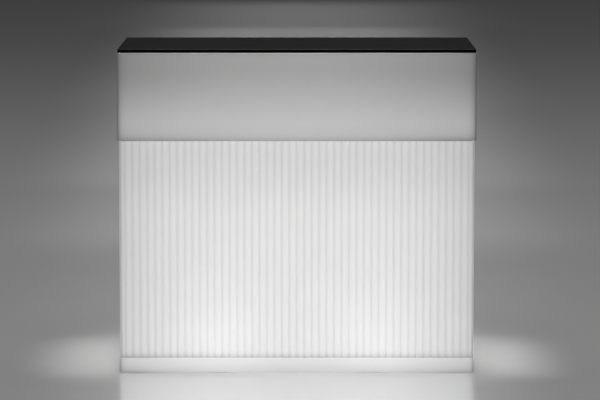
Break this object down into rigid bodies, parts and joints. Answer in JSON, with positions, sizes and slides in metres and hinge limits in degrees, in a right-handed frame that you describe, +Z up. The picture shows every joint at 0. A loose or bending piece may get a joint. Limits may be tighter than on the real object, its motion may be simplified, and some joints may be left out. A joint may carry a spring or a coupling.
{
  "type": "lit bar counter with shelves",
  "caption": "Free-standing, internally lit bar counter: fluted translucent body on a plinth, plain upper band, black laminate worktop, open staff side with niches and pull-out shelves.",
  "frame": {"origin": "on the floor, under the middle of the worktop", "axes": "+X along the counter, to the right as a guest faces it; +Y from the guests' side to the staff side; +Z up"},
  "size_m": [1.2, 0.6, 1.092],
  "materials": {
    "moulded_polyethylene": "white translucent, satin, lit from inside",
    "black_laminate": "fine textured, satin",
    "foam_seal": "matt closed-cell foam",
    "brass": "turned",
    "stainless_steel": "cold-formed, satin",
    "galvanised_steel": "zinc coated",
    "black_nylon": "moulded, matt",
    "black_polycarbonate": "moulded, fine spark texture",
    "grey_lid": "moulded, satin",
    "rocker_plastic": "moulded, polished",
    "lamp_phenolic": "moulded, glossy",
    "opal_diffuser": "opal, lit",
    "lamp_aluminium": "pressed",
    "lead_pvc": "matt sheath",
    "natural_ldpe": "moulded, waxy"
  },
  "bodies": {
    "counter": {"fluted_body": "moulded_polyethylene", "upper_band": "moulded_polyethylene", "band_seal": "foam_seal", "worktop": "black_laminate", "vent_plug": "natural_ldpe", "link_inserts": "brass", "worktop_washers": "stainless_steel", "worktop_screws": "stainless_steel", "joint_inserts": "brass", "joint_spacers": "black_nylon", "joint_washers": "stainless_steel", "joint_bolts": "stainless_steel", "shelf_angle_lower_left": "stainless_steel", "shelf_angle_lower_right": "stainless_steel", "shelf_rest_lower": "stainless_steel", "shelf_angle_upper_left": "stainless_steel", "shelf_angle_upper_right": "stainless_steel", "shelf_rest_upper": "stainless_steel", "shelf_inserts": "brass", "shelf_screws": "stainless_steel", "foot_inserts": "brass", "lamp_plate_left": "galvanised_steel", "lamp_gasket_left": "foam_seal", "lamp_holder_left": "lamp_phenolic", "bulb_cap_left": "lamp_aluminium", "bulb_globe_left": "opal_diffuser", "lamp_plate_right": "galvanised_steel", "lamp_gasket_right": "foam_seal", "lamp_holder_right": "lamp_phenolic", "bulb_cap_right": "lamp_aluminium", "bulb_globe_right": "opal_diffuser", "lamp_plate_inserts": "brass", "lamp_plate_screws": "stainless_steel", "lamp_holder_nuts": "galvanised_steel", "power_panel": "black_polycarbonate", "panel_gasket": "foam_seal", "panel_inserts": "brass", "panel_screws": "stainless_steel", "inlet_socket": "black_polycarbonate", "inlet_pins": "brass", "cap_pin": "stainless_steel", "switch_housing": "black_polycarbonate", "back_box": "black_polycarbonate", "lead_glands": "black_nylon", "lead_left": "lead_pvc", "lead_right": "lead_pvc", "lead_clips": "black_nylon"},
    "lower_shelf_board": {"lower_shelf": "black_laminate"},
    "upper_shelf_board": {"upper_shelf": "black_laminate"},
    "inlet_lid": {"inlet_cap": "grey_lid"},
    "rocker": {"switch_rocker": "rocker_plastic"},
    "foot_front_left": {"foot_pad_front_left": "black_nylon", "foot_stem_front_left": "galvanised_steel"},
    "foot_front_right": {"foot_pad_front_right": "black_nylon", "foot_stem_front_right": "galvanised_steel"},
    "foot_rear_left": {"foot_pad_rear_left": "black_nylon", "foot_stem_rear_left": "galvanised_steel"},
    "foot_rear_right": {"foot_pad_rear_right": "black_nylon", "foot_stem_rear_right": "galvanised_steel"}
  },
  "joints": [
    {"name": "lower_shelf_pull", "type": "slide", "parent": "counter", "child": "lower_shelf_board", "axis": [0, 1, 0], "range_m": [0, 0.384]},
    {"name": "upper_shelf_pull", "type": "slide", "parent": "counter", "child": "upper_shelf_board", "axis": [0, 1, 0], "range_m": [0, 0.384]},
    {"name": "foot_front_left_screw", "type": "slide", "parent": "counter", "child": "foot_front_left", "axis": [0, 0, -1], "range_m": [0, 0.012]},
    {"name": "foot_front_right_screw", "type": "slide", "parent": "counter", "child": "foot_front_right", "axis": [0, 0, -1], "range_m": [0, 0.012]},
    {"name": "foot_rear_left_screw", "type": "slide", "parent": "counter", "child": "foot_rear_left", "axis": [0, 0, -1], "range_m": [0, 0.012]},
    {"name": "foot_rear_right_screw", "type": "slide", "parent": "counter", "child": "foot_rear_right", "axis": [0, 0, -1], "range_m": [0, 0.012]},
    {"name": "inlet_lid_hinge", "type": "hinge", "parent": "counter", "child": "inlet_lid", "pos_m": [0.4085, 0.2833, 0.065], "axis": [1, 0, 0], "range_deg": [0, 90]},
    {"name": "rocker_tilt", "type": "hinge", "parent": "counter", "child": "rocker", "pos_m": [0.4625, 0.274, 0.0395], "axis": [-1, 0, 0], "range_deg": [0, 20]}
  ]
}
